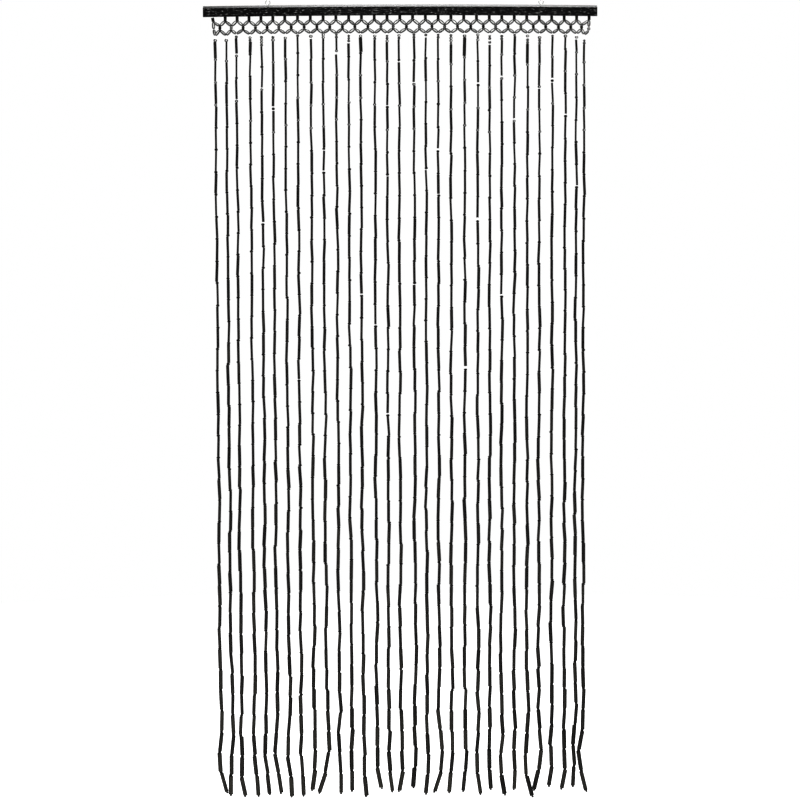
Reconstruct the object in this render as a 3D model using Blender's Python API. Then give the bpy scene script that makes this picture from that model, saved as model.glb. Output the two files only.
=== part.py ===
"""A beaded door curtain: bamboo tubes and small beads on strings, under a black wooden bar.

Metres, +X to the right, -Y to the front, +Z up. The origin lies between the centres of the
two screw eyes that hold the bar up, so the whole curtain hangs below it.
"""

import math
import random
from collections import namedtuple

import bmesh
import bpy
from mathutils import Vector

# Bar: a batten, bowed up in the middle, its top planed down towards the front
BAR_WIDTH = 0.900
BAR_DEPTH = 0.014
BAR_HEIGHT = 0.025
BAR_TOP = -0.0041
BAR_TOP_FALL = 0.0056
BAR_BOW = 0.0030
BAR_EDGE = 0.0005
BAR_STEPS = 12

# Screw eyes: bent wire, the ring left open beside its shank
EYES = {"left": (-0.302, 1), "right": (0.322, -1)}
EYE_RING = 0.0050
EYE_WIRE = 0.0009
EYE_SHANK_DEPTH = 0.010
EYE_RING_START = math.radians(-68)
EYE_RING_TURN = math.radians(318)
EYE_RING_STEPS = 20
EYE_SIDES = 8

# Running gap between two pieces that touch
GAP = 0.0003

# Peg beads under the bar, from the left end: a count of gaps and their pitch
PegRow = namedtuple("PegRow", "gaps pitch")
PEG_ROWS = (PegRow(6, 0.0272), PegRow(16, 0.0292), PegRow(8, 0.0285))
PEG_FIRST_X = -0.4267
PEG_BOTTOM = -0.0403
PEG_RADIUS = 0.0034

# Heading net: oval beads from the pegs to crossing beads, and on to the strand heads
CROSSING_TOP = -0.0517
CROSSING_BOTTOM = -0.0601
NET_BOTTOM = -0.0703
NET_END_SAG = 0.0052
OVAL_RADIUS = 0.0036
OVAL_TIP_RADIUS = 0.0013
OVAL_SHOULDER = 0.30
PEG_FOOT_RADIUS = 0.0020
PEG_KNOT = 0.0032
CROSSING_KNOT = 0.0028
HEAD_KNOT = 0.0032
COLUMN_RADIUS = 0.0032
COLUMN_SHOULDERS = (0.35, 0.25)
LEFT_WAIST = Vector((-0.4260, 0.0, -0.0603))
RIGHT_WAIST = Vector((0.4310, 0.0, -0.0650))

# Strands, one row each from the left, in millimetres: how far the head hangs beside its peg,
# how far the strand swings 100 mm above its tip, how far the tip swings, and how much
# higher the tip ends than the longest strand's; tips swing to the back and front in turn
Strand = namedtuple("Strand", "head kink tail short")
STRANDS = (
    Strand(7, -6, 13, 10),
    Strand(2, 2, -2, 5),
    Strand(-2, 2, 10, 1),
    Strand(2, 0, 9, 3),
    Strand(1, -3, 9, 5),
    Strand(0, -1, 8, 9),
    Strand(1, -4, 6, 0),
    Strand(0, -2, 5, 3),
    Strand(1, 2, -7, 15),
    Strand(0, 4, -17, 11),
    Strand(1, 0, 4, 7),
    Strand(0, 0, 1, 14),
    Strand(-2, 3, 5, 0),
    Strand(1, 1, 12, 21),
    Strand(0, -1, 7, 11),
    Strand(-2, 1, -6, 13),
    Strand(3, 0, -5, 21),
    Strand(1, 2, -4, 7),
    Strand(0, 6, -12, 10),
    Strand(0, 2, -6, 10),
    Strand(2, 2, -5, 12),
    Strand(3, -2, 5, 6),
    Strand(1, -1, 2, 17),
    Strand(0, -2, 8, 5),
    Strand(1, -1, -3, 16),
    Strand(2, -4, 12, 1),
    Strand(1, 6, -11, 14),
    Strand(2, -2, -6, 24),
    Strand(3, -1, -6, 17),
    Strand(-2, -3, -4, 24),
    Strand(-11, -8, 9, 11),
)
LONGEST_TIP = -1.8440
END_STRANDS = (0, 1, len(STRANDS) - 1)

# One strand: a bare stretch of string, a head bead, then tubes with narrow necks between
STRING_RADIUS = 0.0009
STRING_START_DROP = 0.0016
HEAD_BEAD_DROP = 0.0044
HEAD_BEAD_LENGTH = 0.0060
HEAD_BEAD_RADIUS = 0.0034
NECK_RADIUS = 0.0021
NECK_LENGTH = 0.0050
TUBE_RADIUS_TOP = 0.0032
TUBE_RADIUS_BOTTOM = 0.0048
TUBE_RADIUS_SPREAD = 0.18
LONG_TUBES = 9
SHORT_TUBES = 4
SHORT_TUBE_PITCH = 0.049
TIP_BEAD_LENGTH = 0.0050
STRAND_SIDES = 3
CORNER_TO_FRONT = -math.pi / 2

# How a strand hangs out of plumb: little near the top, more near its light end
SWAY_TOP = 0.0006
SWAY_BOTTOM = 0.0016
SWAY_WAVES = (0.47, 0.21)
SWAY_START = 0.08
KINK_HEIGHT = 0.100
KINK_REACH = 0.080
TAIL_REACH = 0.090
TAIL_DEPTH = 0.45
SEED = 31

DEPTH = Vector((0.0, 1.0, 0.0))
SHARP_ANGLE = math.radians(45)
MM = 0.001


def clear_scene():
    for existing in list(bpy.data.objects):
        bpy.data.objects.remove(existing, do_unlink=True)


def make_material(name, color, roughness, metallic=0.0):
    material = bpy.data.materials.new(name)
    material.use_nodes = True
    shader = material.node_tree.nodes["Principled BSDF"]
    shader.inputs["Base Color"].default_value = (*color, 1.0)
    shader.inputs["Roughness"].default_value = roughness
    shader.inputs["Metallic"].default_value = metallic
    return material


def add_object(name, mesh, material=None):
    """Turns a bmesh into a linked object whose faces point out."""
    bmesh.ops.recalc_face_normals(mesh, faces=mesh.faces)
    data = bpy.data.meshes.new(name)
    mesh.to_mesh(data)
    mesh.free()
    if material:
        data.materials.append(material)
    made = bpy.data.objects.new(name, data)
    bpy.context.collection.objects.link(made)
    return made


def cut(target, cutter):
    cutter.hide_render = True
    cutter.display_type = "WIRE"
    boolean = target.modifiers.new(cutter.name, "BOOLEAN")
    boolean.operation = "DIFFERENCE"
    boolean.solver = "EXACT"
    boolean.object = cutter


def loft(mesh, centres, radii, sides, turn=0.0):
    """Adds one open tube with a ring of corners round each centre; returns its end rings."""
    rings = []
    last = len(centres) - 1
    for index, (centre, radius) in enumerate(zip(centres, radii)):
        before = centres[max(index - 1, 0)]
        after = centres[min(index + 1, last)]
        along = (after - before).normalized()
        across = along.cross(DEPTH).normalized()
        deep = across.cross(along)
        ring = []
        for corner in range(sides):
            angle = turn + math.tau * corner / sides
            offset = across * math.cos(angle) + deep * math.sin(angle)
            ring.append(mesh.verts.new(centre + offset * radius))
        rings.append(ring)
    for ring, following in zip(rings, rings[1:]):
        for corner in range(sides):
            neighbour = (corner + 1) % sides
            mesh.faces.new((ring[corner], ring[neighbour], following[neighbour], following[corner]))
    return rings[0], rings[-1]


def closed_loft(mesh, centres, radii, sides):
    first, final = loft(mesh, centres, radii, sides)
    mesh.faces.new(first)
    mesh.faces.new(final)


def join_rings(mesh, rings):
    """Closes a knot of the net: the convex skin round its tubes' end rings, open at each ring."""
    corners = [vert for ring in rings for vert in ring]
    skin = bmesh.ops.convex_hull(mesh, input=corners, use_existing_faces=False)["geom"]
    ring_sets = [set(ring) for ring in rings]
    lids = [item for item in skin if isinstance(item, bmesh.types.BMFace) and set(item.verts) in ring_sets]
    if len(lids) != len(rings):
        raise ValueError("a tube's end ring lies inside its knot")
    bmesh.ops.delete(mesh, geom=lids, context="FACES_ONLY")


def bow_at(x):
    """How far the bar has dropped at x below its highest point, as a negative height."""
    return -BAR_BOW * (2.0 * x / BAR_WIDTH) ** 2


def bar_underside(x):
    return BAR_TOP - BAR_HEIGHT + bow_at(x)


def bar_top_centre(x):
    return BAR_TOP - BAR_TOP_FALL / 2 + bow_at(x)


def eye_wire_points(x, side):
    """The wire's centre line: up the shank, out beside it, and round the ring."""
    ring_start = Vector((math.cos(EYE_RING_START), 0.0, math.sin(EYE_RING_START))) * EYE_RING
    bar_top = bar_top_centre(x)
    points = [
        Vector((0.0, 0.0, bar_top - EYE_SHANK_DEPTH)),
        Vector((0.0, 0.0, bar_top)),
        Vector((ring_start.x / 4, 0.0, (bar_top + ring_start.z) / 2)),
    ]
    for step in range(EYE_RING_STEPS + 1):
        angle = EYE_RING_START + EYE_RING_TURN * step / EYE_RING_STEPS
        points.append(Vector((math.cos(angle), 0.0, math.sin(angle))) * EYE_RING)
    return [Vector((x + side * p.x, p.y, p.z)) for p in points]


def make_screw_eye(label, material):
    x, side = EYES[label]
    points = eye_wire_points(x, side)
    mesh = bmesh.new()
    closed_loft(mesh, points, [EYE_WIRE] * len(points), EYE_SIDES)
    eye = add_object("screw_eye_" + label, mesh, material)
    eye.data.shade_smooth()
    eye.data.set_sharp_from_angle(angle=SHARP_ANGLE)
    return eye


def make_pilot_hole(label):
    """A blind hole for the eye's shank, one running gap wider and deeper than the wire."""
    x = EYES[label][0]
    bar_top = bar_top_centre(x)
    mesh = bmesh.new()
    bottom = Vector((x, 0.0, bar_top - EYE_SHANK_DEPTH - GAP))
    top = Vector((x, 0.0, bar_top + BAR_HEIGHT / 2))
    radius = (EYE_WIRE + GAP) / math.cos(math.pi / EYE_SIDES)
    closed_loft(mesh, [bottom, top], [radius, radius], EYE_SIDES)
    return add_object("pilot_hole_" + label, mesh)


def make_bar(material):
    """The batten's section, swept along its slight bow."""
    front = -BAR_DEPTH / 2
    back = BAR_DEPTH / 2
    section = (
        (front, -BAR_HEIGHT),
        (back, -BAR_HEIGHT),
        (back, 0.0),
        (front, -BAR_TOP_FALL),
    )
    mesh = bmesh.new()
    rings = []
    for step in range(BAR_STEPS + 1):
        x = BAR_WIDTH * (step / BAR_STEPS - 0.5)
        height = BAR_TOP + bow_at(x)
        rings.append([mesh.verts.new((x, y, height + z)) for y, z in section])
    for ring, following in zip(rings, rings[1:]):
        for corner in range(len(section)):
            neighbour = (corner + 1) % len(section)
            mesh.faces.new((ring[corner], ring[neighbour], following[neighbour], following[corner]))
    mesh.faces.new(rings[0])
    mesh.faces.new(rings[-1])
    bar = add_object("header_bar", mesh, material)
    edges = bar.modifiers.new("softened_edges", "BEVEL")
    edges.width = BAR_EDGE
    edges.segments = 1
    edges.limit_method = "ANGLE"
    edges.angle_limit = SHARP_ANGLE
    for label in EYES:
        cut(bar, make_pilot_hole(label))
    return bar


def peg_positions():
    positions = [PEG_FIRST_X]
    for row in PEG_ROWS:
        for _ in range(row.gaps):
            positions.append(positions[-1] + row.pitch)
    return positions


def net_points():
    """The net's corners: pegs, the crossings between them, and the heads of the strands."""
    peg_x = peg_positions()
    head_x = [x + strand.head * MM for x, strand in zip(peg_x, STRANDS)]
    pegs = [Vector((x, 0.0, PEG_BOTTOM + bow_at(x))) for x in peg_x]
    heads = []
    for index, x in enumerate(head_x):
        sag = NET_END_SAG if index in END_STRANDS else 0.0
        heads.append(Vector((x, 0.0, NET_BOTTOM - sag)))
    crossing_x = []
    for index in range(len(pegs) - 1):
        crossing_x.append(sum(peg_x[index:index + 2] + head_x[index:index + 2]) / 4)
    return pegs, crossing_x, heads


def add_oval(mesh, start, end):
    """One oval bead between two knots of the net; returns the rings at its ends."""
    centres = [start, start.lerp(end, OVAL_SHOULDER), end.lerp(start, OVAL_SHOULDER), end]
    radii = [OVAL_TIP_RADIUS, OVAL_RADIUS, OVAL_RADIUS, OVAL_TIP_RADIUS]
    return loft(mesh, centres, radii, STRAND_SIDES, CORNER_TO_FRONT)


def knot_exit(knot, towards, reach):
    """The point on a knot's surface where the string leaves it for the next knot."""
    return knot + (towards - knot).normalized() * reach


def make_net(mesh, strand_rings):
    """The heading net, down to the rings that the strands start with."""
    pegs, crossing_x, heads = net_points()
    last = len(pegs) - 1
    peg_rings = [[add_peg(mesh, peg)] for peg in pegs]
    head_rings = [[ring] for ring in strand_rings]
    for index, x in enumerate(crossing_x):
        over = Vector((x, 0.0, CROSSING_TOP))
        under = Vector((x, 0.0, CROSSING_BOTTOM))
        crossing = []
        for side in (index, index + 1):
            start = knot_exit(pegs[side], over, PEG_KNOT)
            end = knot_exit(over, pegs[side], CROSSING_KNOT)
            first, final = add_oval(mesh, start, end)
            peg_rings[side].append(first)
            crossing.append(final)
            start = knot_exit(under, heads[side], CROSSING_KNOT)
            end = knot_exit(heads[side], under, HEAD_KNOT)
            first, final = add_oval(mesh, start, end)
            crossing.append(first)
            head_rings[side].append(final)
        join_rings(mesh, crossing)
    for index, waist in ((0, LEFT_WAIST), (last, RIGHT_WAIST)):
        first, final = add_side_column(mesh, pegs[index], waist, heads[index])
        peg_rings[index].append(first)
        head_rings[index].append(final)
    for rings in peg_rings + head_rings:
        join_rings(mesh, rings)


def add_peg(mesh, peg):
    """A peg bead, closed at the bar; returns its lower ring."""
    top = Vector((peg.x, 0.0, bar_underside(peg.x) - GAP))
    radii = [PEG_RADIUS, PEG_FOOT_RADIUS]
    first, final = loft(mesh, [top, peg], radii, STRAND_SIDES, CORNER_TO_FRONT)
    mesh.faces.new(first)
    return final


def add_side_column(mesh, peg, waist, head):
    """Two long beads, one above the other, that close the net at one side."""
    start = knot_exit(peg, waist, PEG_KNOT)
    end = knot_exit(head, waist, HEAD_KNOT)
    knot_side, waist_side = COLUMN_SHOULDERS
    centres = [start, start.lerp(waist, knot_side), waist.lerp(start, waist_side), waist]
    centres += [waist.lerp(end, waist_side), end.lerp(waist, knot_side), end]
    tip = OVAL_TIP_RADIUS
    wide = COLUMN_RADIUS
    radii = [tip, wide, wide, tip, wide, wide, tip]
    return loft(mesh, centres, radii, STRAND_SIDES, CORNER_TO_FRONT)


def smooth_rise(value):
    value = min(max(value, 0.0), 1.0)
    return value * value * (3.0 - 2.0 * value)


def strand_point(head, strand, phases, side, z):
    """Where the strand's centre line passes the height z."""
    tip = LONGEST_TIP + strand.short * MM
    down = (head.z - z) / (head.z - tip)
    swing = SWAY_TOP + (SWAY_BOTTOM - SWAY_TOP) * down
    swing *= smooth_rise(down / SWAY_START)
    aside = 0.0
    deep = 0.0
    for wave, phase in zip(SWAY_WAVES, phases):
        aside += swing * math.sin(math.tau * (head.z - z) / wave + phase)
        deep += swing * math.cos(math.tau * (head.z - z) / wave + 2.0 * phase)
    kink_distance = abs(z - tip - KINK_HEIGHT) / KINK_REACH
    aside += strand.kink * MM * smooth_rise(1.0 - kink_distance)
    tail = strand.tail * MM * max(0.0, (tip + TAIL_REACH - z) / TAIL_REACH) ** 2
    aside += tail
    deep += side * TAIL_DEPTH * abs(tail)
    return Vector((head.x + aside, head.y + deep, z))


def strand_sections(strand, head, spread):
    """Heights and radii of a strand's rings, from the string in the net down to the tip."""
    bead_top = head.z - HEAD_BEAD_DROP
    bead_bottom = bead_top - HEAD_BEAD_LENGTH
    tip = LONGEST_TIP + strand.short * MM
    sections = [
        (head.z - STRING_START_DROP, STRING_RADIUS),
        (bead_top, STRING_RADIUS),
        ((bead_top + bead_bottom) / 2, HEAD_BEAD_RADIUS),
        (bead_bottom, NECK_RADIUS),
    ]
    short_top = tip + TIP_BEAD_LENGTH + SHORT_TUBES * SHORT_TUBE_PITCH
    long_pitch = (bead_bottom - short_top) / LONG_TUBES
    pitches = [long_pitch] * LONG_TUBES + [SHORT_TUBE_PITCH] * SHORT_TUBES
    top = bead_bottom
    for pitch in pitches:
        down = (bead_bottom - top) / (bead_bottom - tip)
        radius = TUBE_RADIUS_TOP + (TUBE_RADIUS_BOTTOM - TUBE_RADIUS_TOP) * down
        radius *= 1.0 + spread.uniform(-TUBE_RADIUS_SPREAD, TUBE_RADIUS_SPREAD)
        bottom = top - pitch
        sections.append((top - NECK_LENGTH / 4, radius))
        sections.append((bottom + NECK_LENGTH / 2, radius))
        sections.append((bottom, NECK_RADIUS))
        top = bottom
    sections.append((tip, STRING_RADIUS))
    return sections


def add_strands(mesh, heads):
    """All strands, each closed at its tip; returns the rings that they start with."""
    spread = random.Random(SEED)
    starts = []
    for index, (head, strand) in enumerate(zip(heads, STRANDS)):
        phases = [spread.uniform(0.0, math.tau) for _ in SWAY_WAVES]
        sections = strand_sections(strand, head, spread)
        side = -1 if index % 2 else 1
        centres = [strand_point(head, strand, phases, side, z) for z, _ in sections]
        radii = [radius for _, radius in sections]
        first, final = loft(mesh, centres, radii, STRAND_SIDES, CORNER_TO_FRONT)
        mesh.faces.new(final)
        starts.append(first)
    return starts


def make_curtain(material):
    """Strands and heading net as one body of strung beads."""
    mesh = bmesh.new()
    strand_rings = add_strands(mesh, net_points()[2])
    make_net(mesh, strand_rings)
    return add_object("bead_curtain", mesh, material)


def main():
    clear_scene()
    black_paint = make_material("black_paint", (0.012, 0.012, 0.013), 0.35)
    bright_wire = make_material("bright_wire", (0.62, 0.62, 0.60), 0.25, 1.0)
    black_bamboo = make_material("black_bamboo", (0.010, 0.010, 0.009), 0.45)
    make_bar(black_paint)
    for label in EYES:
        make_screw_eye(label, bright_wire)
    make_curtain(black_bamboo)


main()
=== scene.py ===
import math
import random
from collections import namedtuple

import bmesh
import bpy
from mathutils import Euler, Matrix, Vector


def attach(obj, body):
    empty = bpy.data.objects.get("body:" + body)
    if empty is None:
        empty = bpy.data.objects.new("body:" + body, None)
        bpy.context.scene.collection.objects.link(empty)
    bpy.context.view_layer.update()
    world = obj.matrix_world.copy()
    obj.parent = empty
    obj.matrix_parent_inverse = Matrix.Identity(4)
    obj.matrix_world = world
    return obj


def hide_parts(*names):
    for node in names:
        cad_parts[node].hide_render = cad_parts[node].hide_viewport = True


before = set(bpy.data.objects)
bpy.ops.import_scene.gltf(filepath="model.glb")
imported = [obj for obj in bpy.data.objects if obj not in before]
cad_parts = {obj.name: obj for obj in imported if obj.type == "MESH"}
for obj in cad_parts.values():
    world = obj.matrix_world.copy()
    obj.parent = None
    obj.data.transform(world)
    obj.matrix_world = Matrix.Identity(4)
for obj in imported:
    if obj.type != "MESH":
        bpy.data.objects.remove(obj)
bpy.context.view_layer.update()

MM = 0.001

# Camera: long lens, a little under the bar's height, looking slightly down
CAMERA_PLACE = Vector((-0.0025, -6.834, -0.3133))
CAMERA_DOWN = math.radians(5.0)
CAMERA_ROLL = math.radians(-0.15)
CAMERA_LENS = 133.65
CAMERA_SENSOR = 36.0
VIEW_GAMMA = 0.75

# Bar and pegs, as in the part
BAR_WIDTH = 0.900
BAR_HEIGHT = 0.025
BAR_TOP = -0.0041
BAR_TOP_FALL = 0.0056
BAR_BOW = 0.0030
GAP = 0.0003
PegRow = namedtuple("PegRow", "gaps pitch")
PEG_ROWS = (PegRow(6, 0.0272), PegRow(16, 0.0292), PegRow(8, 0.0285))
PEG_FIRST_X = -0.4267
PEG_BOTTOM = -0.0403

# Screw eyes, as in the part
EYES = {"left": (-0.302, 1), "right": (0.322, -1)}
EYE_RING = 0.0050
EYE_WIRE = 0.0009
EYE_SHANK_DEPTH = 0.010
EYE_RING_START = math.radians(-68)
EYE_RING_TURN = math.radians(318)
EYE_RING_STEPS = 48
EYE_SIDES = 14
EYE_SHARP = math.radians(50)

# Heading net, as in the part
CROSSING_TOP = -0.0517
CROSSING_BOTTOM = -0.0601
NET_BOTTOM = -0.0703
NET_END_SAG = 0.0052
PEG_KNOT = 0.0008
CROSSING_KNOT = 0.0007
HEAD_KNOT = 0.0008
NET_RISE = 0.0012
NET_UNEVEN = 0.0005
SIDE_KNOT = 0.0005
PEG_RISE = 0.0018
FIRST_PEG_TOP = Vector((-0.4285, 0.0, -0.0340))
LEFT_WAIST = Vector((-0.4260, 0.0, -0.0603))
RIGHT_WAIST = Vector((0.4310, 0.0, -0.0650))
RIGHT_SHOULDER = Vector((0.4308, 0.0, -0.0569))

# Strands, one row each from the left, in millimetres, as in the part but for two heads moved 3 and
# 2 mm outwards
Strand = namedtuple("Strand", "head kink tail short")
STRANDS = (
    Strand(4, -6, 13, 10),
    Strand(2, 2, -2, 5),
    Strand(-2, 2, 10, 1),
    Strand(2, 0, 9, 3),
    Strand(1, -3, 9, 5),
    Strand(0, -1, 8, 9),
    Strand(1, -4, 6, 0),
    Strand(0, -2, 5, 3),
    Strand(1, 2, -7, 15),
    Strand(0, 4, -17, 11),
    Strand(1, 0, 4, 7),
    Strand(0, 0, 1, 14),
    Strand(-2, 3, 5, 0),
    Strand(1, 1, 12, 21),
    Strand(0, -1, 7, 11),
    Strand(-2, 1, -6, 13),
    Strand(3, 0, -5, 21),
    Strand(1, 2, -4, 7),
    Strand(0, 6, -12, 10),
    Strand(0, 2, -6, 10),
    Strand(2, 2, -5, 12),
    Strand(3, -2, 5, 6),
    Strand(1, -1, 2, 17),
    Strand(0, -2, 8, 5),
    Strand(1, -1, -3, 16),
    Strand(2, -4, 12, 1),
    Strand(1, 6, -11, 14),
    Strand(2, -2, -6, 24),
    Strand(3, -1, -6, 17),
    Strand(0, -3, -4, 24),
    Strand(-11, -8, 9, 11),
)
LONGEST_TIP = -1.8440
END_STRANDS = (0, 1, len(STRANDS) - 1)

# The top of each strand: millimetres from the eyes down to its first bead, the beads above
# the first tube, and that tube's length and width. Beads: o large and round, b plain, s slim,
# g grey, c pale, and a full stop for a little bare string. o, g and c take the oval beads'
# finish, and the grey and pale look of g and c is its painted highlight, strongest on c
Top = namedtuple("Top", "down beads tube wide")
TOPS = (
    Top(82, "o", 37, 6.2),
    Top(82, "o", 40, 3.8),
    Top(74, "b", 35, 5.3),
    Top(76, "gb", 25, 6.2),
    Top(75, "bggb", 43, 4.2),
    Top(75, "bo", 44, 4.4),
    Top(77, "c", 42, 5.1),
    Top(72, "b", 33, 4.0),
    Top(73, "o.", 45, 4.7),
    Top(70, "cc", 42, 4.4),
    Top(70, "sb", 25, 4.0),
    Top(73, "ssb.", 27, 5.5),
    Top(73, "c", 33, 6.8),
    Top(73, "cb", 42, 4.7),
    Top(73, "sbc", 40, 5.1),
    Top(72, "cb", 43, 4.2),
    Top(70, "bb", 46, 4.7),
    Top(71, "b.", 44, 3.8),
    Top(71, "sb", 43, 4.0),
    Top(72, "bccs", 42, 5.5),
    Top(73, "o", 42, 6.6),
    Top(71, "csc", 42, 3.8),
    Top(74, "sb.b.", 44, 4.7),
    Top(74, "bb", 29, 4.7),
    Top(72, "s", 36, 5.1),
    Top(74, "c.bb", 44, 5.9),
    Top(77, "obb", 42, 5.1),
    Top(74, "s", 42, 4.2),
    Top(74, "o", 23, 4.0),
    Top(77, "c.", 26, 4.4),
    Top(85, "sb", 37, 4.4),
)
TUBE_KIND, DULL_BEAD_KIND, BEAD_KIND, OVAL_KIND = range(4)
TopBead = namedtuple("TopBead", "kind length radius tone")
TOP_BEADS = {
    "o": TopBead(OVAL_KIND, 0.0068, 0.0040, 0.35),
    "b": TopBead(BEAD_KIND, 0.0062, 0.0034, 0.30),
    "s": TopBead(BEAD_KIND, 0.0054, 0.0029, 0.30),
    "g": TopBead(OVAL_KIND, 0.0060, 0.0034, 0.40),
    "c": TopBead(OVAL_KIND, 0.0060, 0.0036, 0.75),
}
TOP_GAP = 0.0024

# Joints where string shows: strand counted from 1, millimetres below the eyes, and millimetres of
# bare string above and below the joint's bead
BareString = namedtuple("BareString", "strand down above below")
BARE_STRINGS = (
    BareString(3, 118, 2.2, 0.0),
    BareString(3, 213, 1.6, 0.0),
    BareString(5, 205, 1.8, 0.0),
    BareString(5, 505, 3.0, 0.0),
    BareString(6, 235, 2.8, 1.6),
    BareString(8, 863, 1.4, 0.0),
    BareString(10, 339, 0.0, 1.5),
    BareString(10, 384, 2.4, 0.0),
    BareString(11, 117, 0.0, 5.0),
    BareString(13, 667, 2.4, 0.0),
    BareString(14, 745, 2.2, 0.0),
    BareString(15, 239, 1.6, 0.0),
    BareString(15, 399, 0.0, 1.2),
    BareString(15, 952, 3.0, 0.0),
    BareString(16, 142, 0.0, 2.0),
    BareString(17, 188, 2.0, 0.0),
    BareString(17, 617, 0.0, 1.6),
    BareString(18, 386, 0.0, 1.5),
    BareString(19, 330, 4.0, 0.0),
    BareString(19, 441, 1.2, 0.0),
    BareString(21, 832, 6.0, 0.0),
    BareString(22, 189, 3.4, 0.0),
    BareString(22, 509, 6.0, 0.0),
    BareString(24, 166, 2.8, 0.0),
    BareString(24, 677, 3.0, 0.0),
    BareString(25, 263, 3.2, 0.0),
    BareString(27, 205, 0.0, 1.6),
    BareString(28, 170, 3.4, 1.6),
    BareString(29, 252, 2.6, 0.0),
    BareString(30, 407, 1.8, 0.0),
)
JOINT_REACH = 0.025

# Bends of the last tubes beside the part's smooth line, strand by strand: millimetres to the right
# at five heights above the longest tip, named in millimetres, and at the strand's own tip
Bends = namedtuple("Bends", "at_250 at_203 at_154 at_105 at_56 at_tip")
TAIL_BENDS = (
    Bends(-2, 3, 5, 3, -1, 3),
    Bends(1, 3, 5, -2, -3, 1),
    Bends(1, 4, -1, 0, -4, -2),
    Bends(2, 1, -2, -2, 2, 0),
    Bends(0, -1, 2, 2, 2, -2),
    Bends(-1, 1, 0, -3, 1, 1),
    Bends(0, 2, 0, 0, 4, 0),
    Bends(-2, -1, 2, 0, 2, 1),
    Bends(0, 0, 1, -1, 1, -2),
    Bends(2, 6, 6, 1, -3, -2),
    Bends(-1, 3, -2, 3, 3, -2),
    Bends(4, 2, 2, -2, 0, -1),
    Bends(3, 4, 0, -2, 1, 1),
    Bends(1, -1, 1, 2, -5, -3),
    Bends(-2, -3, 1, 2, 3, 0),
    Bends(1, 0, -1, 0, 6, 2),
    Bends(0, 1, -1, 1, 0, 1),
    Bends(4, 1, -1, 0, 3, 0),
    Bends(0, -1, 1, 1, 6, 0),
    Bends(-1, -1, 1, 1, -2, 1),
    Bends(2, -1, -2, 0, 2, 0),
    Bends(-1, 1, 0, 1, 0, 2),
    Bends(2, 0, 4, 1, -3, -2),
    Bends(-2, 1, 4, -1, -4, 1),
    Bends(0, 0, 4, 3, 4, 0),
    Bends(2, 2, 0, 1, -1, 3),
    Bends(1, -1, 1, -1, -2, -1),
    Bends(2, 4, 0, -4, 5, 1),
    Bends(2, 1, -2, -1, 6, 1),
    Bends(3, 4, 0, 0, 2, -2),
    Bends(5, 3, 1, -3, -1, 2),
)
BENDS_START = 330

# How a strand hangs out of plumb, as in the part but for a little less sway
SWAY_TOP = 0.0004
SWAY_BOTTOM = 0.0014
SWAY_WAVES = (0.47, 0.21)
SWAY_START = 0.08
KINK_HEIGHT = 0.100
KINK_REACH = 0.080
TAIL_REACH = 0.090
TAIL_DEPTH = 0.45
SEED = 31
WIDTH_DRAWS = 13
WIDTH_SPREAD = 0.18

# Pieces on a strand. A pair holds the values at the strand's top and at its tip, and a table's
# rows give a share of the way down and the radius there
TUBE_LENGTHS = (0.0445, 0.0436)
TUBE_LENGTH_SPREAD = 0.0012
TUBE_RADII = (
    (0.0, 0.0025),
    (0.22, 0.0029),
    (0.48, 0.0033),
    (0.62, 0.0037),
    (0.76, 0.0039),
    (0.90, 0.0047),
    (1.0, 0.0053),
)
TUBE_RADIUS_SPREADS = (0.20, 0.10)
TONE_SPREAD = 0.7
TONE_RISE = 0.60
# Near the top, a share of the joint beads take the oval beads' finish, whose painted highlight
# makes them look pale; their tone, and so that highlight, is cut down
PALE_HIGHLIGHT_BEAD_SHARE = 0.55
PALE_HIGHLIGHT_REACH = 0.12
PALE_HIGHLIGHT_TONE_SHARE = 0.3
FIRST_TUBE_FULLER = 1.15
BEAD_LENGTHS = (0.0063, 0.0042)
BEAD_RADII = ((0.0, 0.0034), (0.20, 0.0037), (0.50, 0.0040), (1.0, 0.0041))
BEAD_SPREAD = 0.08
BEAD_TONE = 0.6
TIP_BEAD_LENGTH = 0.0046
TIP_BEAD_RADIUS = 0.0029
OFFSETS = (0.0006, 0.0011)
LEANS = (0.0007, 0.0010)
STRING_RADIUS = 0.0004
STRING_SIDES = 6

# Nominal sizes of the turned and cut pieces that are strung
TUBE = {"Tube radius": 0.0030, "Tube bore": 0.0012, "Tube length": 0.0440, "Tube edge": 0.0003}
BEAD = {"Bead radius": 0.0034, "Bead tip": 0.0016, "Bead length": 0.0055, "Bead fullness": 3.0}
OVAL = {"Oval radius": 0.0037, "Oval tip": 0.0017, "Oval length": 0.0150, "Oval fullness": 3.2}
STRUNG_COUNTS = {"Sides": 10, "Bands": 9}
STRUNG_SHARP = math.radians(40)

# The ovals' painted highlight, a pale stripe along the middle of the front and back that stands in
# for their gloss, in shares of their half width and half length: how far it lies above the
# middle, and where it begins to fade and ends
HIGHLIGHT_STREAK_UP = 0.12
HIGHLIGHT_STREAK_WIDE = (0.12, 0.42)
HIGHLIGHT_STREAK_LONG = (0.40, 0.78)
CROSSING_BEAD_RADIUS = 0.0034
PEG_RADIUS = 0.0034
PEG_TONE = 0.1
NET_TONE = 0.8
STRING_IN_BAR = 0.004
SIDE_BEAD_RADIUS = 0.0036

UP = Vector((0.0, 0.0, 1.0))


def add_node(tree, kind, feeds=(), **settings):
    """Adds a node. Each feed is an input's name or number and a value or another node's output."""
    node = tree.nodes.new(kind)
    for name, value in settings.items():
        setattr(node, name, value)
    for key, value in feeds:
        if isinstance(value, bpy.types.NodeSocket):
            tree.links.new(value, node.inputs[key])
        else:
            node.inputs[key].default_value = value
    return node


def add_math(tree, operation, first, second):
    feeds = ((0, first), (1, second))
    return add_node(tree, "ShaderNodeMath", feeds, operation=operation).outputs[0]


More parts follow.
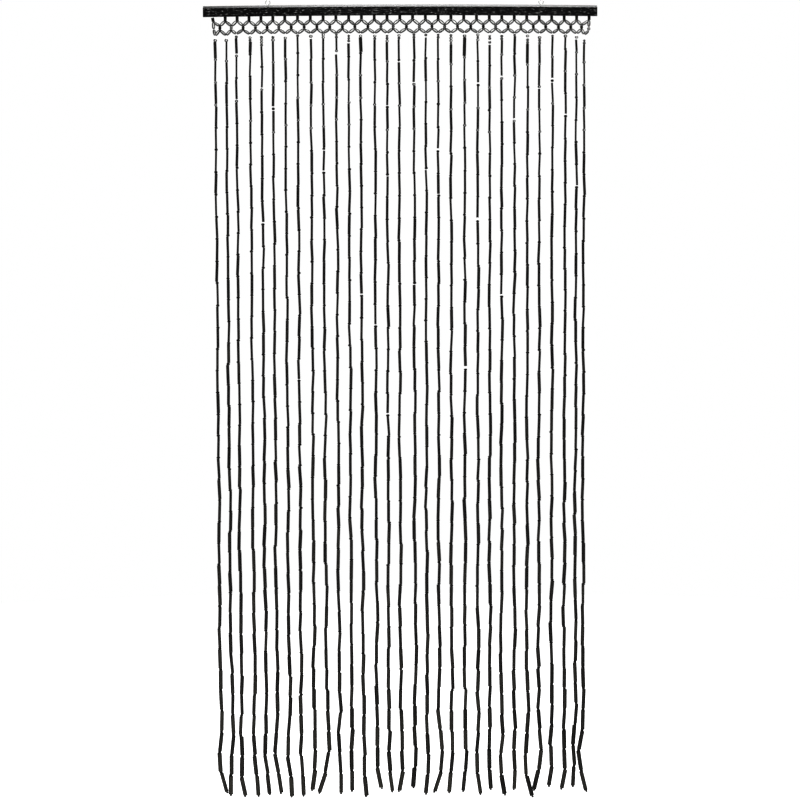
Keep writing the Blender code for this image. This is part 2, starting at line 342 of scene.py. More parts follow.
def new_tree(name, numbers=(), counts=(), materials=()):
    """A geometry tree with one named input for each size, count and material."""
    tree = bpy.data.node_groups.new(name, "GeometryNodeTree")
    tree.interface.new_socket("Geometry", in_out="INPUT", socket_type="NodeSocketGeometry")
    for label in numbers:
        tree.interface.new_socket(label, in_out="INPUT", socket_type="NodeSocketFloat")
    for label in counts:
        tree.interface.new_socket(label, in_out="INPUT", socket_type="NodeSocketInt")
    for label in materials:
        tree.interface.new_socket(label, in_out="INPUT", socket_type="NodeSocketMaterial")
    tree.interface.new_socket("Geometry", in_out="OUTPUT", socket_type="NodeSocketGeometry")
    return tree, tree.nodes.new("NodeGroupInput").outputs


def finish_tree(tree, geometry):
    add_node(tree, "NodeGroupOutput", (("Geometry", geometry),))
    return tree


def named_value(tree, label, data_type="FLOAT"):
    node = add_node(
        tree, "GeometryNodeInputNamedAttribute", (("Name", label),), data_type=data_type
    )
    return node.outputs["Attribute"]


def bored_piece(tree, radius, bore, length, edge, sides, rounding):
    """A turned piece with a hole through it: a wall section carried round its axis."""
    middle = add_math(tree, "MULTIPLY", add_math(tree, "ADD", radius, bore), 0.5)
    wall = add_math(tree, "SUBTRACT", radius, bore)
    rim = add_node(
        tree, "GeometryNodeCurvePrimitiveCircle", (("Resolution", sides), ("Radius", middle))
    )
    section = add_node(
        tree, "GeometryNodeCurvePrimitiveQuadrilateral", (("Width", wall), ("Height", length))
    )
    softened = add_node(
        tree,
        "GeometryNodeFilletCurve",
        (
            ("Curve", section.outputs[0]),
            ("Count", rounding),
            ("Radius", edge),
            ("Limit Radius", True),
        ),
        mode="POLY",
    )
    carried = add_node(
        tree,
        "GeometryNodeCurveToMesh",
        (("Curve", rim.outputs[0]), ("Profile Curve", softened.outputs[0])),
    )
    return carried.outputs[0]


def rounded_piece(tree, radius, tip, length, fullness, sides, bands):
    """A round or oval bead: widest in the middle, drawn in to its tips."""
    half = add_math(tree, "MULTIPLY", length, 0.5)
    low = add_node(tree, "ShaderNodeCombineXYZ", (("Z", add_math(tree, "MULTIPLY", half, -1.0)),))
    high = add_node(tree, "ShaderNodeCombineXYZ", (("Z", half),))
    axis = add_node(
        tree,
        "GeometryNodeCurvePrimitiveLine",
        (("Start", low.outputs[0]), ("End", high.outputs[0])),
    )
    stations = add_node(
        tree, "GeometryNodeResampleCurve", (("Curve", axis.outputs[0]), ("Count", bands))
    )
    along = add_node(tree, "GeometryNodeSplineParameter").outputs["Factor"]
    doubled = add_math(tree, "SUBTRACT", add_math(tree, "MULTIPLY", along, 2.0), 1.0)
    out = add_math(tree, "POWER", add_math(tree, "ABSOLUTE", doubled, 0.0), fullness)
    drawn_in = add_math(tree, "MULTIPLY", out, add_math(tree, "SUBTRACT", radius, tip))
    width = add_math(tree, "SUBTRACT", radius, drawn_in)
    ring = add_node(
        tree, "GeometryNodeCurvePrimitiveCircle", (("Resolution", sides), ("Radius", 1.0))
    )
    skin = add_node(
        tree,
        "GeometryNodeCurveToMesh",
        (
            ("Curve", stations.outputs[0]),
            ("Profile Curve", ring.outputs[0]),
            ("Scale", width),
            ("Fill Caps", True),
        ),
    )
    return skin.outputs[0]


# The third finish is the oval beads' lacquer with its painted highlight
MATERIAL_INPUTS = ("Bamboo", "Lacquer", "Lacquer with painted highlight")


def strung_pieces_tree():
    """Puts a tube, small bead or oval bead at each point, turned and sized by its values."""
    sizes = [*TUBE, *BEAD, *OVAL]
    tree, given = new_tree("strung_pieces", sizes, ("Sides", "Bands"), MATERIAL_INPUTS)
    counts = (given["Sides"], given["Bands"])
    bead = rounded_piece(tree, *[given[label] for label in BEAD], *counts)
    shapes = {
        TUBE_KIND: bored_piece(tree, *[given[label] for label in TUBE], given["Sides"], 1),
        DULL_BEAD_KIND: bead,
        BEAD_KIND: bead,
        OVAL_KIND: rounded_piece(tree, *[given[label] for label in OVAL], *counts),
    }
    kind = named_value(tree, "kind", "INT")
    spun = add_node(
        tree,
        "FunctionNodeAxisAngleToRotation",
        (("Axis", (0.0, 0.0, 1.0)), ("Angle", named_value(tree, "spin"))),
    )
    turned = add_node(
        tree,
        "FunctionNodeAlignRotationToVector",
        (("Rotation", spun.outputs[0]), ("Vector", named_value(tree, "axis", "FLOAT_VECTOR"))),
        axis="Z",
    )
    joined = tree.nodes.new("GeometryNodeJoinGeometry")
    for number, shape in shapes.items():
        marked = add_node(
            tree,
            "GeometryNodeStoreNamedAttribute",
            (
                ("Geometry", shape),
                ("Name", "grain"),
                ("Value", tree.nodes.new("GeometryNodeInputPosition").outputs[0]),
            ),
            data_type="FLOAT_VECTOR",
            domain="POINT",
        )
        chosen = add_node(
            tree,
            "FunctionNodeCompare",
            ((2, kind), (3, number)),
            data_type="INT",
            operation="EQUAL",
        )
        placed = add_node(
            tree,
            "GeometryNodeInstanceOnPoints",
            (
                ("Points", given["Geometry"]),
                ("Selection", chosen.outputs[0]),
                ("Instance", marked.outputs[0]),
                ("Rotation", turned.outputs[0]),
                ("Scale", named_value(tree, "size", "FLOAT_VECTOR")),
            ),
        )
        tree.links.new(placed.outputs[0], joined.inputs[0])
    real = add_node(tree, "GeometryNodeRealizeInstances", (("Geometry", joined.outputs[0]),))
    smooth = add_node(
        tree, "GeometryNodeSetShadeSmooth", (("Geometry", real.outputs[0]), ("Shade Smooth", True))
    )
    finished = smooth
    for label, first_kind in zip(MATERIAL_INPUTS, (TUBE_KIND, BEAD_KIND, OVAL_KIND)):
        from_kind = add_node(
            tree,
            "FunctionNodeCompare",
            ((2, kind), (3, first_kind)),
            data_type="INT",
            operation="GREATER_EQUAL",
        )
        finished = add_node(
            tree,
            "GeometryNodeSetMaterial",
            (
                ("Geometry", finished.outputs[0]),
                ("Selection", from_kind.outputs[0]),
                ("Material", given[label]),
            ),
        )
    return finish_tree(tree, finished.outputs[0])


def drawn_line_tree():
    """Carries a round section along every run of edges: string and wire."""
    tree, given = new_tree("drawn_line", ("Radius",), ("Sides",), ("Material",))
    runs = add_node(tree, "GeometryNodeMeshToCurve", (("Mesh", given["Geometry"]),))
    ring = add_node(
        tree,
        "GeometryNodeCurvePrimitiveCircle",
        (("Resolution", given["Sides"]), ("Radius", given["Radius"])),
    )
    skin = add_node(
        tree,
        "GeometryNodeCurveToMesh",
        (("Curve", runs.outputs[0]), ("Profile Curve", ring.outputs[0]), ("Fill Caps", True)),
    )
    real = add_node(tree, "GeometryNodeRealizeInstances", (("Geometry", skin.outputs[0]),))
    smooth = add_node(
        tree, "GeometryNodeSetShadeSmooth", (("Geometry", real.outputs[0]), ("Shade Smooth", True))
    )
    coated = add_node(
        tree,
        "GeometryNodeSetMaterial",
        (("Geometry", smooth.outputs[0]), ("Material", given["Material"])),
    )
    return finish_tree(tree, coated.outputs[0])


def run_tree(name, layout, tree, inputs, sharp=None):
    """Runs a tree over a layout mesh and keeps what it makes as a plain mesh."""
    holder = bpy.data.objects.new(name + "_layout", layout)
    bpy.context.collection.objects.link(holder)
    maker = holder.modifiers.new("made", "NODES")
    maker.node_group = tree
    for item in tree.interface.items_tree:
        if item.item_type == "SOCKET" and item.in_out == "INPUT" and item.name in inputs:
            maker[item.identifier] = inputs[item.name]
    graph = bpy.context.evaluated_depsgraph_get()
    mesh = bpy.data.meshes.new_from_object(
        holder.evaluated_get(graph), preserve_all_data_layers=True, depsgraph=graph
    )
    bpy.data.objects.remove(holder, do_unlink=True)
    bpy.data.meshes.remove(layout)
    mesh.name = name
    if sharp is not None:
        mesh.set_sharp_from_angle(angle=sharp)
    made = bpy.data.objects.new(name, mesh)
    bpy.context.collection.objects.link(made)
    return made


def new_material(name):
    material = bpy.data.materials.new(name)
    material.use_nodes = True
    tree = material.node_tree
    shader = next(node for node in tree.nodes if node.type == "BSDF_PRINCIPLED")
    return material, tree, shader


def color_ramp(tree, value, stops):
    ramp = add_node(tree, "ShaderNodeValToRGB", ((0, value),))
    while len(ramp.color_ramp.elements) < len(stops):
        ramp.color_ramp.elements.new(0.5)
    for element, (place, color) in zip(ramp.color_ramp.elements, stops):
        element.position = place
        element.color = (*color, 1.0)
    return ramp.outputs[0]


def number_range(tree, value, low, high, start=0.0, end=1.0):
    """Carries a value that runs from start to end over to the range from low to high."""
    node = add_node(
        tree,
        "ShaderNodeMapRange",
        (
            ("Value", value),
            ("From Min", start),
            ("From Max", end),
            ("To Min", low),
            ("To Max", high),
        ),
    )
    return node.outputs[0]


def piece_grain(tree, stretch):
    """Each piece's own coordinates, shifted by its tone, so that no two pieces look the same."""
    grain = add_node(tree, "ShaderNodeAttribute", attribute_name="grain")
    tone = add_node(tree, "ShaderNodeAttribute", attribute_name="tone")
    shift = add_math(tree, "MULTIPLY", tone.outputs["Fac"], 83.0)
    scaled = add_node(
        tree,
        "ShaderNodeVectorMath",
        ((0, grain.outputs["Vector"]), (1, stretch)),
        operation="MULTIPLY",
    )
    moved = add_node(
        tree, "ShaderNodeVectorMath", ((0, scaled.outputs[0]), (1, shift)), operation="ADD"
    )
    return moved.outputs[0], tone.outputs["Fac"]


# How much of a tube's shade comes from its fibres; the rest is the tube's own tone
FIBRE_SHARE = 0.75


def stained_bamboo():
    material, tree, shader = new_material("stained_bamboo")
    place, tone = piece_grain(tree, (1300.0, 1300.0, 45.0))
    fibres = add_node(
        tree,
        "ShaderNodeTexNoise",
        (("Vector", place), ("Scale", 1.0), ("Detail", 4.0), ("Roughness", 0.6)),
    ).outputs["Fac"]
    mixed = add_math(
        tree,
        "ADD",
        add_math(tree, "MULTIPLY", fibres, FIBRE_SHARE),
        add_math(tree, "MULTIPLY", tone, 1.0 - FIBRE_SHARE),
    )
    color = color_ramp(
        tree,
        mixed,
        (
            (0.30, (0.0012, 0.0012, 0.0011)),
            (0.52, (0.0055, 0.0054, 0.0049)),
            (0.80, (0.0290, 0.0275, 0.0230)),
        ),
    )
    tree.links.new(color, shader.inputs["Base Color"])
    tree.links.new(number_range(tree, fibres, 0.38, 0.58), shader.inputs["Roughness"])
    shader.inputs["Specular IOR Level"].default_value = 0.06
    bump = add_node(
        tree, "ShaderNodeBump", (("Height", fibres), ("Strength", 0.35), ("Distance", 0.0002))
    )
    tree.links.new(bump.outputs[0], shader.inputs["Normal"])
    return material


def black_lacquer():
    material, tree, shader = new_material("black_lacquer")
    place, tone = piece_grain(tree, (420.0, 420.0, 260.0))
    ripple = add_node(
        tree, "ShaderNodeTexNoise", (("Vector", place), ("Scale", 1.0), ("Detail", 2.0))
    ).outputs["Fac"]
    mixed = add_math(tree, "ADD", tone, add_math(tree, "MULTIPLY", ripple, 0.12))
    color = color_ramp(
        tree,
        mixed,
        (
            (0.05, (0.0030, 0.0030, 0.0030)),
            (0.80, (0.0140, 0.0140, 0.0130)),
            (0.95, (0.0850, 0.0850, 0.0800)),
        ),
    )
    tree.links.new(color, shader.inputs["Base Color"])
    tree.links.new(number_range(tree, ripple, 0.24, 0.36), shader.inputs["Roughness"])
    shader.inputs["Specular IOR Level"].default_value = 0.6
    bump = add_node(
        tree, "ShaderNodeBump", (("Height", ripple), ("Strength", 0.012), ("Distance", 0.0003))
    )
    tree.links.new(bump.outputs[0], shader.inputs["Normal"])
    return material


def highlight_painted_lacquer():
    """The oval beads' finish: black, with a painted highlight, a pale stripe along the middle of
    the front and back.
    """
    material, tree, shader = new_material("highlight_painted_lacquer")
    place, tone = piece_grain(tree, (420.0, 420.0, 260.0))
    wear_and_highlight_noise = add_node(
        tree, "ShaderNodeTexNoise", (("Vector", place), ("Scale", 1.0), ("Detail", 2.0))
    ).outputs["Fac"]
    grain = add_node(tree, "ShaderNodeAttribute", attribute_name="grain").outputs["Vector"]
    parts = add_node(tree, "ShaderNodeSeparateXYZ", ((0, grain),))
    radius = OVAL["Oval radius"]
    wide = [share * radius for share in HIGHLIGHT_STREAK_WIDE]
    long = [share * OVAL["Oval length"] / 2 for share in HIGHLIGHT_STREAK_LONG]
    from_highlight_line = add_math(tree, "SUBTRACT", parts.outputs["X"], HIGHLIGHT_STREAK_UP * radius)
    aside = add_math(tree, "ABSOLUTE", from_highlight_line, 0.0)
    along = add_math(tree, "ABSOLUTE", parts.outputs["Z"], 0.0)
    highlight_across = number_range(tree, aside, 1.0, 0.0, *wide)
    highlight_along = number_range(tree, along, 1.0, 0.0, *long)
    painted_highlight = add_math(tree, "MULTIPLY", highlight_across, highlight_along)
    highlight_strength = add_math(
        tree,
        "MULTIPLY",
        number_range(tree, wear_and_highlight_noise, 0.5, 1.3, 0.3, 0.7),
        number_range(tree, tone, 0.3, 1.0),
    )
    # Painted highlight: the pale stripe is painted into the base colour, stronger on pieces of
    # higher tone
    color = color_ramp(
        tree,
        add_math(tree, "MULTIPLY", painted_highlight, highlight_strength),
        ((0.0, (0.0030, 0.0030, 0.0030)), (1.0, (0.6200, 0.6200, 0.6100))),
    )
    tree.links.new(color, shader.inputs["Base Color"])
    tree.links.new(number_range(tree, wear_and_highlight_noise, 0.36, 0.48), shader.inputs["Roughness"])
    shader.inputs["Specular IOR Level"].default_value = 0.3
    return material


def clear_nylon():
    material, tree, shader = new_material("clear_nylon")
    coordinates = tree.nodes.new("ShaderNodeTexCoord").outputs["Object"]
    cloudy = add_node(
        tree, "ShaderNodeTexNoise", (("Vector", coordinates), ("Scale", 180.0))
    ).outputs["Fac"]
    color = color_ramp(tree, cloudy, ((0.3, (0.80, 0.80, 0.79)), (0.7, (0.92, 0.92, 0.91))))
    tree.links.new(color, shader.inputs["Base Color"])
    tree.links.new(number_range(tree, cloudy, 0.25, 0.4), shader.inputs["Roughness"])
    return material


# Painted light and shade along the bar: how much of the paint's grey shows, from its left end to
# its right
SHADE_ALONG_BAR = (
    (0.00, (0.40, 0.40, 0.40)),
    (0.20, (0.20, 0.20, 0.20)),
    (0.42, (0.95, 0.95, 0.95)),
    (0.65, (0.55, 0.55, 0.55)),
    (1.00, (0.35, 0.35, 0.35)),
)


def painted_wood():
    """Black satin paint on a sawn batten: fine grain lines, a few rubbed spots, and painted light
    and shade along its length.
    """
    material, tree, shader = new_material("painted_wood")
    coordinates = tree.nodes.new("ShaderNodeTexCoord").outputs["Object"]
    stretched = add_node(
        tree, "ShaderNodeMapping", (("Vector", coordinates), ("Scale", (45.0, 420.0, 420.0)))
    ).outputs[0]
    grain = add_node(
        tree,
        "ShaderNodeTexNoise",
        (("Vector", stretched), ("Scale", 1.0), ("Detail", 6.0), ("Roughness", 0.65)),
    ).outputs["Fac"]
    spotted = add_node(
        tree, "ShaderNodeMapping", (("Vector", coordinates), ("Scale", (120.0, 420.0, 420.0)))
    ).outputs[0]
    spots = add_node(
        tree, "ShaderNodeTexNoise", (("Vector", spotted), ("Scale", 1.0), ("Detail", 3.0))
    ).outputs["Fac"]
    base = color_ramp(
        tree,
        grain,
        (
            (0.42, (0.0005, 0.0005, 0.0006)),
            (0.54, (0.0060, 0.0060, 0.0064)),
            (0.70, (0.0800, 0.0800, 0.0800)),
        ),
    )
    # Painted light and shade: the grain's grey is scaled up and down along the bar's length
    across = add_node(tree, "ShaderNodeSeparateXYZ", ((0, coordinates),)).outputs["X"]
    painted_shade_along_bar = color_ramp(
        tree, number_range(tree, across, 0.0, 1.0, -BAR_WIDTH / 2, BAR_WIDTH / 2), SHADE_ALONG_BAR
    )
    grain_and_painted_shade = add_node(
        tree,
        "ShaderNodeVectorMath",
        ((0, base), (1, painted_shade_along_bar)),
        operation="MULTIPLY",
    ).outputs[0]
    rubbed = color_ramp(tree, spots, ((0.60, (0.0, 0.0, 0.0)), (0.70, (1.0, 1.0, 1.0))))
    mix = add_node(
        tree,
        "ShaderNodeMix",
        ((0, rubbed), (6, grain_and_painted_shade), (7, (0.170, 0.170, 0.166, 1.0))),
        data_type="RGBA",
    )
    tree.links.new(mix.outputs[2], shader.inputs["Base Color"])
    tree.links.new(number_range(tree, grain, 0.40, 0.47), shader.inputs["Roughness"])
    shader.inputs["Specular IOR Level"].default_value = 0.02
    bump = add_node(
        tree, "ShaderNodeBump", (("Height", grain), ("Strength", 0.08), ("Distance", 0.0004))
    )
    tree.links.new(bump.outputs[0], shader.inputs["Normal"])
    return material


def bright_wire():
    material, tree, shader = new_material("bright_wire")
    coordinates = tree.nodes.new("ShaderNodeTexCoord").outputs["Object"]
    dulled = add_node(
        tree, "ShaderNodeTexNoise", (("Vector", coordinates), ("Scale", 900.0), ("Detail", 3.0))
    ).outputs["Fac"]
    color = color_ramp(tree, dulled, ((0.3, (0.24, 0.24, 0.23)), (0.7, (0.42, 0.42, 0.41))))
    tree.links.new(color, shader.inputs["Base Color"])
    tree.links.new(number_range(tree, dulled, 0.18, 0.34), shader.inputs["Roughness"])
    shader.inputs["Metallic"].default_value = 1.0
    return material


def bow_at(x):
    return -BAR_BOW * (2.0 * x / BAR_WIDTH) ** 2


def bar_underside(x):
    return BAR_TOP - BAR_HEIGHT + bow_at(x)


def bar_top_centre(x):
    return BAR_TOP - BAR_TOP_FALL / 2 + bow_at(x)


def net_points():
    """The net's corners: pegs, the crossings between them, and the heads of the strands."""
    peg_x = [PEG_FIRST_X]
    for row in PEG_ROWS:
        for _ in range(row.gaps):
            peg_x.append(peg_x[-1] + row.pitch)
    head_x = [x + strand.head * MM for x, strand in zip(peg_x, STRANDS)]
    pegs = [Vector((x, 0.0, PEG_BOTTOM + bow_at(x))) for x in peg_x]
    heads = []
    for index, x in enumerate(head_x):
        sag = NET_END_SAG if index in END_STRANDS else 0.0
        heads.append(Vector((x, 0.0, NET_BOTTOM - sag)))
    crossing_x = [sum(peg_x[i:i + 2] + head_x[i:i + 2]) / 4 for i in range(len(pegs) - 1)]
    return pegs, crossing_x, heads


def smooth_rise(value):
    value = min(max(value, 0.0), 1.0)
    return value * value * (3.0 - 2.0 * value)


def tail_bend(bends, short, z):
    """How far a strand's tail is bent aside at the height z, in millimetres."""
    rows = (
        (short, bends.at_tip),
        (56, bends.at_56),
        (105, bends.at_105),
        (154, bends.at_154),
        (203, bends.at_203),
        (250, bends.at_250),
        (BENDS_START, 0.0),
    )
    return along_table(rows, (z - LONGEST_TIP) / MM)


def string_point(head, strand, bends, phases, side, z):
    """Where the strand's string passes the height z."""
    tip = LONGEST_TIP + strand.short * MM
    down = (head.z - z) / (head.z - tip)
    swing = SWAY_TOP + (SWAY_BOTTOM - SWAY_TOP) * down
    swing *= smooth_rise(down / SWAY_START)
    aside = 0.0
    deep = 0.0
    for wave, phase in zip(SWAY_WAVES, phases):
        aside += swing * math.sin(math.tau * (head.z - z) / wave + phase)
        deep += swing * math.cos(math.tau * (head.z - z) / wave + 2.0 * phase)
    kink_distance = abs(z - tip - KINK_HEIGHT) / KINK_REACH
    aside += strand.kink * MM * smooth_rise(1.0 - kink_distance)
    bend = tail_bend(bends, strand.short, z)
    tail = strand.tail * MM * max(0.0, (tip + TAIL_REACH - z) / TAIL_REACH) ** 2
    aside += tail + bend * MM
    deep += side * TAIL_DEPTH * abs(tail)
    return Vector((head.x + aside, head.y + deep, z))


# A layout is a mesh of points that say where each piece goes
Piece = namedtuple("Piece", "kind start end radius tone spin")
NOMINAL = {
    TUBE_KIND: (TUBE["Tube radius"], TUBE["Tube length"]),
    DULL_BEAD_KIND: (BEAD["Bead radius"], BEAD["Bead length"]),
    BEAD_KIND: (BEAD["Bead radius"], BEAD["Bead length"]),
    OVAL_KIND: (OVAL["Oval radius"], OVAL["Oval length"]),
}


def layout_mesh(name, pieces):
    """One point for each piece, with its kind, direction, size, tone and turn."""
    mesh = bpy.data.meshes.new(name)
    mesh.from_pydata([(p.start + p.end) / 2 for p in pieces], [], [])
    columns = {"kind": [], "tone": [], "spin": [], "axis": [], "size": []}
    for p in pieces:
        radius, length = NOMINAL[p.kind]
        wide = p.radius / radius
        columns["kind"].append(p.kind)
        columns["tone"].append(p.tone)
        columns["spin"].append(p.spin)
        columns["axis"].extend((p.start - p.end).normalized())
        columns["size"].extend((wide, wide, (p.end - p.start).length / length))
    for label, data_type, field in (
        ("kind", "INT", "value"),
        ("tone", "FLOAT", "value"),
        ("spin", "FLOAT", "value"),
        ("axis", "FLOAT_VECTOR", "vector"),
        ("size", "FLOAT_VECTOR", "vector"),
    ):
        attribute = mesh.attributes.new(label, data_type, "POINT")
        attribute.data.foreach_set(field, columns[label])
    return mesh


def run_mesh(name, runs):
    """Edges along each run of points."""
    mesh = bpy.data.meshes.new(name)
    points = []
    edges = []
    for run in runs:
        first = len(points)
        points.extend(run)
        edges.extend((first + i, first + i + 1) for i in range(len(run) - 1))
    mesh.from_pydata(points, edges, [])
    return mesh


def between(pair, share):
    return pair[0] + (pair[1] - pair[0]) * share


def along_table(table, share):
    """Reads a table of (share, value) rows, with straight runs between them."""
    for (low, start), (high, end) in zip(table, table[1:]):
        if share <= high:
            return start + (end - start) * (share - low) / (high - low)
    return table[-1][1]


def strand_lengths(index, top, tip, chance):
    """Kinds and lengths down one strand, from its first tube to its tip."""
    reach = top - tip
    bare = [row for row in BARE_STRINGS if row.strand == index + 1]
    lengths = [[TUBE_KIND, TOPS[index].tube * MM]]
    used = TOPS[index].tube * MM
    target = reach - TIP_BEAD_LENGTH - sum(row.above + row.below for row in bare) * MM
    while used < target:
        share = used / reach
        bead = between(BEAD_LENGTHS, share) * (1.0 + chance.uniform(-BEAD_SPREAD, BEAD_SPREAD))
        tube = between(TUBE_LENGTHS, share) + chance.uniform(-1.0, 1.0) * TUBE_LENGTH_SPREAD
        if used + bead + tube / 2 > target:
            break
        lengths.append([DULL_BEAD_KIND, bead])
        lengths.append([TUBE_KIND, tube])
        used += bead + tube
    tubes = sum(length for kind, length in lengths[1:] if kind == TUBE_KIND)
    stretch = 1.0 + (target - used) / tubes
    for item in lengths[1:]:
        if item[0] == TUBE_KIND:
            item[1] *= stretch
    lengths.append([BEAD_KIND, TIP_BEAD_LENGTH])
    return lengths, bare


def lay_strand(index, strand, head, chance, phases):
    """All pieces of one strand, and its string through their middles."""
    side = -1 if index % 2 else 1
    tip = LONGEST_TIP + strand.short * MM
    z = -TOPS[index].down * MM

    def on_string(height):
        return string_point(head, strand, TAIL_BENDS[index], phases, side, height)

    def turn():
        return chance.uniform(0.0, math.tau)

    def aside(table, share):
        reach = between(table, share)
        return Vector((chance.uniform(-1, 1), chance.uniform(-1, 1), 0)) * reach

    pieces = []
    for code in TOPS[index].beads:
        length = TOP_GAP
        if code in TOP_BEADS:
            bead = TOP_BEADS[code]
            length = bead.length
            spin = 0.0 if bead.kind == OVAL_KIND else turn()
            pieces.append(
                Piece(bead.kind, on_string(z), on_string(z - length), bead.radius, bead.tone, spin)
            )
        z -= length
    top = z
    lengths, bare = strand_lengths(index, top, tip, chance)
    first_tube = True
    for kind, length in lengths:
        under = 0.0
        if kind == DULL_BEAD_KIND and bare and -z > bare[0].down * MM - JOINT_REACH:
            row = bare.pop(0)
            z -= row.above * MM
            under = row.below * MM
        share = (top - z) / (top - tip)
        start = on_string(z)
        end = on_string(z - length)
        if kind == TUBE_KIND:
            tone = chance.random() * TONE_SPREAD + TONE_RISE * share * share
            radius = along_table(TUBE_RADII, share)
            radius *= 1.0 + chance.uniform(-1.0, 1.0) * between(TUBE_RADIUS_SPREADS, share)
            if first_tube:
                radius = TOPS[index].wide * MM / 2 * FIRST_TUBE_FULLER
                first_tube = False
            offset = aside(OFFSETS, share)
            lean = aside(LEANS, share)
            start = start + offset + lean
            end = end + offset - lean
        else:
            radius = along_table(BEAD_RADII, share)
            radius *= 1.0 + chance.uniform(-BEAD_SPREAD, BEAD_SPREAD)
            tone = chance.random() * BEAD_TONE
            # Painted highlight: these beads look pale only through the oval beads' painted
            # highlight
            if share < PALE_HIGHLIGHT_REACH and chance.random() < PALE_HIGHLIGHT_BEAD_SHARE:
                kind = OVAL_KIND
                tone *= PALE_HIGHLIGHT_TONE_SHARE
            if end.z < tip + TIP_BEAD_LENGTH / 2:
                kind = BEAD_KIND
                radius = TIP_BEAD_RADIUS
        spin = 0.0 if kind == OVAL_KIND else turn()
        pieces.append(Piece(kind, start, end, radius, tone, spin))
        z -= length + under
    return pieces, [place for piece in pieces for place in (piece.start, piece.end)]


def lay_net(pegs, crossing_x, heads, chance):
    """The heading net's beads and the runs of string through them."""
    pieces = []
    runs = []

    def bead_between(kind, start, end, start_knot, end_knot, radius, tone=None):
        along = (end - start).normalized()
        if tone is None:
            tone = chance.random() * NET_TONE
        spin = chance.uniform(0.0, math.tau)
        if kind == OVAL_KIND:
            spin = math.pi if end.x < start.x else 0.0
        pieces.append(
            Piece(kind, start + along * start_knot, end - along * end_knot, radius, tone, spin)
        )

    def uneven():
        return Vector((chance.uniform(-1, 1), 0.0, chance.uniform(-1, 1))) * NET_UNEVEN

    oval = OVAL["Oval radius"]
    last = len(pegs) - 1
    knots = [peg + UP * PEG_RISE for peg in pegs]
    knots[0] = pegs[0]
    for index, knot in enumerate(knots):
        top = Vector((knot.x, 0.0, bar_underside(knot.x) - GAP))
        runs.append([top + UP * STRING_IN_BAR, knot])
        if index == 0:
            top = FIRST_PEG_TOP
        bead_between(TUBE_KIND, top, knot, 0.0, 0.0, PEG_RADIUS, PEG_TONE)
    vees = []
    for index, head in enumerate(heads):
        rise = NET_RISE + (0.0 if index in END_STRANDS else bow_at(head.x))
        vees.append(head + UP * (rise + chance.uniform(-1, 1) * NET_UNEVEN))
    for index, x in enumerate(crossing_x):
        rise = NET_RISE + bow_at(x)
        over = Vector((x, 0.0, CROSSING_TOP + rise)) + uneven()
        under = Vector((x, 0.0, CROSSING_BOTTOM + rise)) + uneven()
        kind = chance.choice((DULL_BEAD_KIND, DULL_BEAD_KIND, BEAD_KIND))
        bead_between(kind, over, under, 0.0, 0.0, CROSSING_BEAD_RADIUS)
        for side in (index, index + 1):
            bead_between(OVAL_KIND, knots[side], over, PEG_KNOT, CROSSING_KNOT, oval)
            bead_between(OVAL_KIND, under, vees[side], CROSSING_KNOT, HEAD_KNOT, oval)
            runs.append([knots[side], over, under, vees[side]])
    for index, edge in ((0, [LEFT_WAIST]), (last, [RIGHT_SHOULDER, RIGHT_WAIST])):
        run = [knots[index], *edge, vees[index]]
        for start, end in zip(run, run[1:]):
            bead_between(OVAL_KIND, start, end, SIDE_KNOT, SIDE_KNOT, SIDE_BEAD_RADIUS)
        runs.append(run)
    for head, vee, top in zip(heads, vees, TOPS):
        runs.append([vee, Vector((head.x, 0.0, -top.down * MM))])
    return pieces, runs


def hand_over(piece, node):
    """Rides on the only body and stands for a solid, which it hides."""
    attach(piece, "root")
    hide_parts(node)


def make_curtain(finishes, nylon):
    strung = strung_pieces_tree()
    drawn = drawn_line_tree()
    sizes = {**TUBE, **BEAD, **OVAL, **STRUNG_COUNTS}
    sizes.update(zip(MATERIAL_INPUTS, finishes))
    pegs, crossing_x, heads = net_points()
    draws = random.Random(SEED)
    runs = []
    for index, (head, strand) in enumerate(zip(heads, STRANDS)):
        phases = [draws.uniform(0.0, math.tau) for _ in SWAY_WAVES]
        for _ in range(WIDTH_DRAWS):
            draws.uniform(-WIDTH_SPREAD, WIDTH_SPREAD)
        chance = random.Random(SEED * 100 + index)
        pieces, run = lay_strand(index, strand, head, chance, phases)
        runs.append(run)
        name = f"strand_{index + 1:02d}"
        made = run_tree(name, layout_mesh(name, pieces), strung, sizes, STRUNG_SHARP)
        hand_over(made, "bead_curtain")
    pieces, net_runs = lay_net(pegs, crossing_x, heads, random.Random(SEED))
    net = run_tree(
        "heading_net", layout_mesh("heading_net", pieces), strung, sizes, STRUNG_SHARP
    )
    hand_over(net, "bead_curtain")
    line = {"Radius": STRING_RADIUS, "Sides": STRING_SIDES, "Material": nylon}
    strings = run_tree("strings", run_mesh("strings", runs + net_runs), drawn, line)
    hand_over(strings, "bead_curtain")


def make_screw_eyes(wire):
    drawn = drawn_line_tree()
    for label, (x, side) in EYES.items():
        start = Vector((math.cos(EYE_RING_START), 0.0, math.sin(EYE_RING_START))) * EYE_RING
        bar_top = bar_top_centre(x)
        points = [
            Vector((0.0, 0.0, bar_top - EYE_SHANK_DEPTH)),
            Vector((0.0, 0.0, bar_top)),
            Vector((start.x / 4, 0.0, (bar_top + start.z) / 2)),
        ]
        for step in range(EYE_RING_STEPS + 1):
            angle = EYE_RING_START + EYE_RING_TURN * step / EYE_RING_STEPS
            points.append(Vector((math.cos(angle), 0.0, math.sin(angle))) * EYE_RING)
        run = [Vector((x + side * p.x, p.y, p.z)) for p in points]
        name = "wire_eye_" + label
        settings = {"Radius": EYE_WIRE, "Sides": EYE_SIDES, "Material": wire}
        eye = run_tree(name, run_mesh(name, [run]), drawn, settings, EYE_SHARP)
        hand_over(eye, "screw_eye_" + label)


